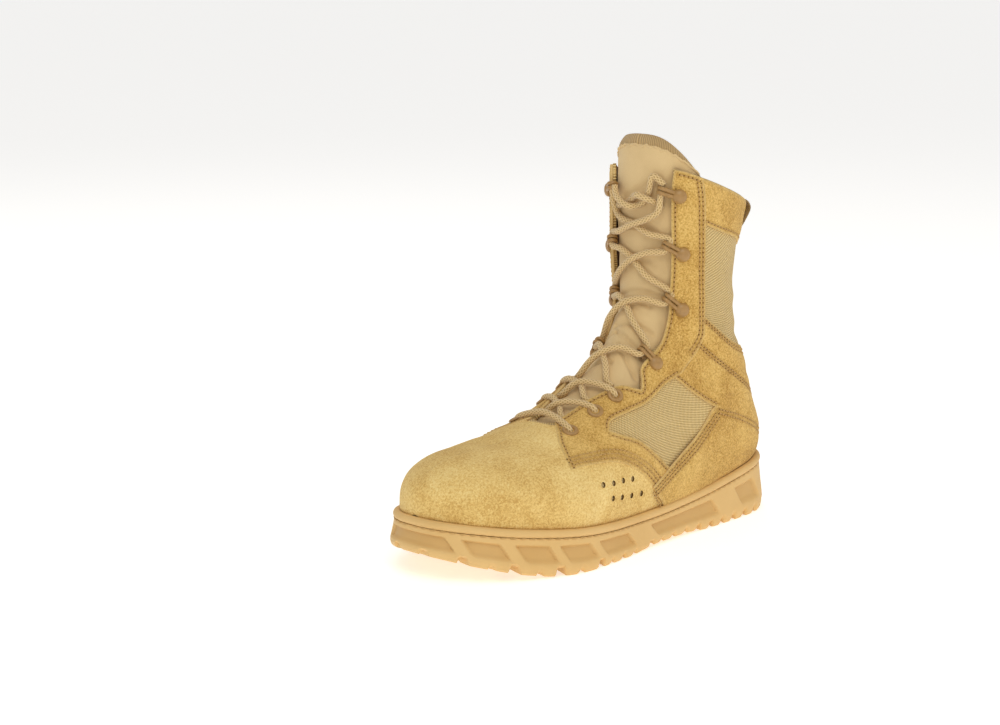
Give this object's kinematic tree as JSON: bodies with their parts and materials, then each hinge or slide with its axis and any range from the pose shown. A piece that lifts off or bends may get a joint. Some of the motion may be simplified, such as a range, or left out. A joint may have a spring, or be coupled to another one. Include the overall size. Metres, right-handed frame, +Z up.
{
  "type": "combat boot",
  "caption": "Left desert combat boot: suede and woven cloth upper with laced throat, padded tongue, rear pull loop and a lugged rubber sole",
  "frame": {"origin": "on the ground under the middle of the sole", "axes": "+X from toe to heel along the sole, -Y the outer (lateral) side, +Z up"},
  "size_m": [0.3026, 0.1194, 0.2581],
  "materials": {
    "rubber": "moulded tan rubber, satin",
    "footbed": "brushed cloth over foam",
    "suede": "rough-out tan suede",
    "tongue_cloth": "soft woven tan cloth over foam",
    "webbing": "woven tan tape",
    "coated_brass": "tan lacquered brass, low sheen",
    "lace_cord": "round braided polyester lace"
  },
  "bodies": {
    "root": {"outsole": "rubber", "welt": "rubber", "insole": "footbed", "upper": "suede", "tongue": "tongue_cloth", "pull_loop": "webbing", "eyelet_lateral_1": "coated_brass", "eyelet_lateral_2": "coated_brass", "eyelet_lateral_3": "coated_brass", "eyelet_medial_1": "coated_brass", "eyelet_medial_2": "coated_brass", "eyelet_medial_3": "coated_brass", "lace_loop_lateral_1": "coated_brass", "lace_loop_lateral_2": "coated_brass", "lace_loop_lateral_3": "coated_brass", "lace_loop_lateral_4": "coated_brass", "lace_loop_medial_1": "coated_brass", "lace_loop_medial_2": "coated_brass", "lace_loop_medial_3": "coated_brass", "lace_loop_medial_4": "coated_brass", "lace_bar": "lace_cord", "lace_crossing_1": "lace_cord", "lace_crossing_2": "lace_cord", "lace_crossing_3": "lace_cord", "lace_crossing_4": "lace_cord", "lace_crossing_5": "lace_cord", "lace_crossing_6": "lace_cord", "lace_tie_lateral": "lace_cord", "lace_tie_medial": "lace_cord"}
  },
  "joints": []
}
